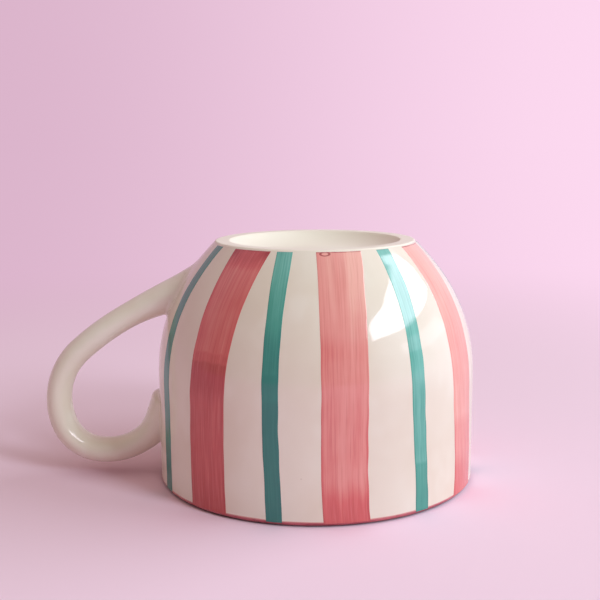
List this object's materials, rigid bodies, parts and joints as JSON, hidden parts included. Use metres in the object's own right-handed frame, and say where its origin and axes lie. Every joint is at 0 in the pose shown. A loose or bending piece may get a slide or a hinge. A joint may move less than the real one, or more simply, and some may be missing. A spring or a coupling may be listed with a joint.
{
  "type": "ceramic mug",
  "caption": "Low wide ceramic mug with a rounded shoulder, turned foot ring and looped clay handle, hand painted with pink and teal stripes under clear glaze.",
  "frame": {"origin": "centre of the mouth, in the plane of the lip that the mug stands on as pictured, upside down", "axes": "+Z along the cup's axis from the mouth to the foot, so the mug is upside down; -X from the axis to the handle; turn half a turn about X to set it upright on its foot"},
  "size_m": [0.1371, 0.1006, 0.076],
  "materials": {
    "cream_glaze": "clear gloss glaze over cream clay, bare and matt on the foot ring",
    "pink_paint": "brushed pink underglaze below clear gloss glaze",
    "teal_paint": "brushed teal underglaze below clear gloss glaze",
    "red_paint": "thin dark red underglaze line below clear gloss glaze"
  },
  "bodies": {
    "root": {"cup_body": "cream_glaze", "handle": "cream_glaze", "foot_end_slip": "cream_glaze", "rim_end_slip": "cream_glaze", "rim_line": "red_paint", "pink_stripe_1": "pink_paint", "pink_stripe_2": "pink_paint", "pink_stripe_3": "pink_paint", "pink_stripe_4": "pink_paint", "pink_stripe_5": "pink_paint", "pink_stripe_6": "pink_paint", "teal_stripe_1": "teal_paint", "teal_stripe_2": "teal_paint", "teal_stripe_3": "teal_paint", "teal_stripe_4": "teal_paint", "teal_stripe_5": "teal_paint", "teal_stripe_6": "teal_paint", "teal_stripe_7": "teal_paint"}
  },
  "joints": []
}
